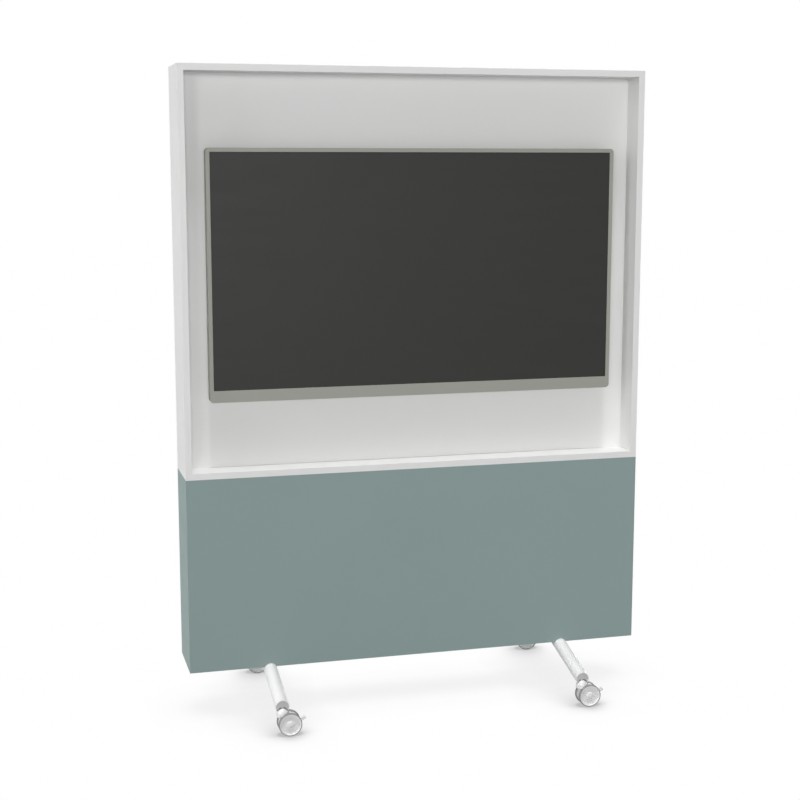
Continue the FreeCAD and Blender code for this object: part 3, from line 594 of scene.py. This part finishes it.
def add_screw(shape, rings, place):
    """Adds a screw about the Z axis, head up, moved to its place: circles, bridged one to the next."""
    points = []
    loops = []
    for ring in rings:
        radius, height, lobed = ring
        at_end = ring in (rings[0], rings[-1])
        circle = bmesh.ops.create_circle(shape, cap_ends=at_end, segments=SCREW_STEPS,
                                         radius=radius * MM)["verts"]
        for point in circle:
            turn = math.atan2(point.co.y, point.co.x)
            dent = lobed * SCREW_LOBE_DEPTH * (1 - math.cos(SCREW_LOBES * turn)) / 2
            point.co *= 1 - dent
        bmesh.ops.translate(shape, vec=(0.0, 0.0, height * MM), verts=circle)
        loops.append(edges_at(circle))
        points += circle
    for low, high in zip(loops, loops[1:]):
        bmesh.ops.bridge_loops(shape, edges=low + high)
    bmesh.ops.transform(shape, matrix=place, verts=points)


def solid_boxes(node):
    """The low and high corner of each separate solid of a node."""
    shape = node_copy(node)
    left = set(shape.verts)
    boxes = []
    while left:
        reached = [left.pop()]
        for vert in reached:
            for edge in vert.link_edges:
                other = edge.other_vert(vert)
                if other in left:
                    left.remove(other)
                    reached.append(other)
        low = Vector([min(vert.co[axis] for vert in reached) for axis in range(3)])
        high = Vector([max(vert.co[axis] for vert in reached) for axis in range(3)])
        boxes.append((low, high))
    shape.free()
    return sorted(boxes, key=lambda box: tuple(box[0]))


def make_screws():
    """Screws with a lobed drive: round the rear cover, and under the leg saddles."""
    heads_back = Matrix.Rotation(-math.pi / 2, 4, "X")
    heads_down = Matrix.Rotation(math.pi, 4, "X")
    cover = bmesh.new()
    for low, high in solid_boxes("rear_cover_screws"):
        middle = (low + high) / 2
        seat = high.y - COVER_HEAD * MM
        add_screw(cover, COVER_SCREW, Matrix.Translation((middle.x, seat, middle.z)) @ heads_back)
    saddle = bmesh.new()
    for low, high in solid_boxes("saddle_screws"):
        middle = (low + high) / 2
        seat = low.z + SADDLE_HEAD * MM
        add_screw(saddle, SADDLE_SCREW, Matrix.Translation((middle.x, middle.y, seat)) @ heads_down)
    for shape, node in ((cover, "rear_cover_screws"), (saddle, "saddle_screws")):
        bmesh.ops.recalc_face_normals(shape, faces=shape.faces)
        finished_piece(shape, node)


def dress_nodes():
    """Softened copies of the nodes that keep their shape, and finishes for the rest."""
    for node in WHITE_BOARDS + GREEN_BOARDS:
        soft_copy(node, BOARD_EDGE)
    for corner in CORNERS:
        soft_copy(corner + "_leg_tube", LEG_EDGE)
        soft_copy(corner + "_caster_housing", LEG_EDGE)
    for node, edge in SMALL_EDGES.items():
        soft_copy(node, edge)
    for node, part in frame["nodes"].items():
        part.data.materials.clear()
        part.data.materials.append(FINISHES[SLOT_OF[node]])


def light_seen(tree):
    """1 for rays that show the background: straight, mirrored or through glass."""
    path = add(tree, "ShaderNodeLightPath").outputs
    seen = combine(tree, "MAXIMUM", path["Is Camera Ray"], path["Is Glossy Ray"])
    return combine(tree, "MAXIMUM", seen, path["Is Transmission Ray"])


def make_sky():
    """White to look at, and a plain level of light on the object."""
    world = bpy.data.worlds.new("studio_sky")
    world.use_nodes = True
    tree = world.node_tree
    tree.nodes.clear()
    light, shown = [add(tree, "ShaderNodeBackground", {"Color": WHITE, "Strength": level}).outputs[0]
                    for level in (SKY_LEVEL, BACKDROP_LEVEL)]
    both = add(tree, "ShaderNodeMixShader", {0: light_seen(tree), 1: light, 2: shown})
    add(tree, "ShaderNodeOutputWorld", {"Surface": both.outputs[0]})
    bpy.context.scene.world = world


def make_lamp(name, level, spread, source):
    """A far soft lamp that shines from the source point towards the origin."""
    lamp = bpy.data.lights.new(name, "SUN")
    lamp.energy = level
    lamp.angle = math.radians(spread)
    holder = bpy.data.objects.new(name, lamp)
    holder.location = source
    holder.rotation_euler = Vector(source).to_track_quat("Z", "Y").to_euler()
    bpy.context.scene.collection.objects.link(holder)


def floor_finish():
    """Pale floor: white to look at, with a soft shade under the low pieces."""
    material = bpy.data.materials.new("studio_floor")
    material.use_nodes = True
    tree = material.node_tree
    tree.nodes.clear()
    place = object_place(tree)
    speckle = remap(tree, cloud(tree, place, scale=300.0), low=0.3, high=0.7, to_low=0.996)
    shade = speckle
    for reach, light, heavy, depth in FLOOR_SHADES:
        clear = add(tree, "ShaderNodeAmbientOcclusion", {"Distance": reach}, samples=FLOOR_RAYS)
        closed = combine(tree, "SUBTRACT", 1.0, clear.outputs["AO"])
        kept = remap(tree, closed, light, heavy, to_low=1.0, to_high=1.0 - depth, smooth=True)
        shade = combine(tree, "MULTIPLY", shade, kept)
    spot = add(tree, "ShaderNodeSeparateXYZ", {0: place}).outputs
    inside = [combine(tree, "LESS_THAN", combine(tree, "ABSOLUTE", spot[axis]), half)
              for axis, half in enumerate(FLOOR_NEAR)]
    near = combine(tree, "MULTIPLY", *inside)
    tones = [add(tree, "ShaderNodeCombineColor", {part: level for part in range(3)}).outputs[0]
             for level in (speckle, shade)]
    lit, shaded = [add(tree, "ShaderNodeEmission", {"Color": tone}).outputs[0] for tone in tones]
    shown = add(tree, "ShaderNodeMixShader", {0: near, 1: lit, 2: shaded})
    plain = add(tree, "ShaderNodeBsdfDiffuse", {"Color": FLOOR_COLOUR})
    both = add(tree, "ShaderNodeMixShader",
               {0: light_seen(tree), 1: plain.outputs[0], 2: shown.outputs[0]})
    add(tree, "ShaderNodeOutputMaterial", {"Surface": both.outputs[0]})
    return material


def make_floor():
    """One wide flat floor under the casters."""
    shape = bmesh.new()
    bmesh.ops.create_grid(shape, x_segments=1, y_segments=1, size=FLOOR_HALF)
    mesh = bpy.data.meshes.new("studio_floor")
    shape.to_mesh(mesh)
    shape.free()
    mesh.materials.append(floor_finish())
    floor = bpy.data.objects.new("studio_floor", mesh)
    bpy.context.scene.collection.objects.link(floor)


def make_camera():
    """The camera at the photograph's place and angle."""
    lens = bpy.data.cameras.new("photo_camera")
    lens.sensor_fit = "HORIZONTAL"
    lens.sensor_width = CAMERA_SENSOR
    lens.lens = CAMERA_SENSOR * CAMERA_FOCAL / PHOTO_SIDE
    camera = bpy.data.objects.new("photo_camera", lens)
    camera.location = CAMERA_PLACE
    camera.rotation_euler = (math.pi / 2 - CAMERA_DIP, 0.0, -CAMERA_TURN)
    bpy.context.scene.collection.objects.link(camera)
    bpy.context.scene.camera = camera


dress_nodes()
make_wheels()
make_pedals()
make_screws()
make_sky()
for lamp_name, lamp_values in LAMPS.items():
    make_lamp(lamp_name, *lamp_values)
make_floor()
make_camera()
bpy.context.scene.view_settings.view_transform = "Standard"
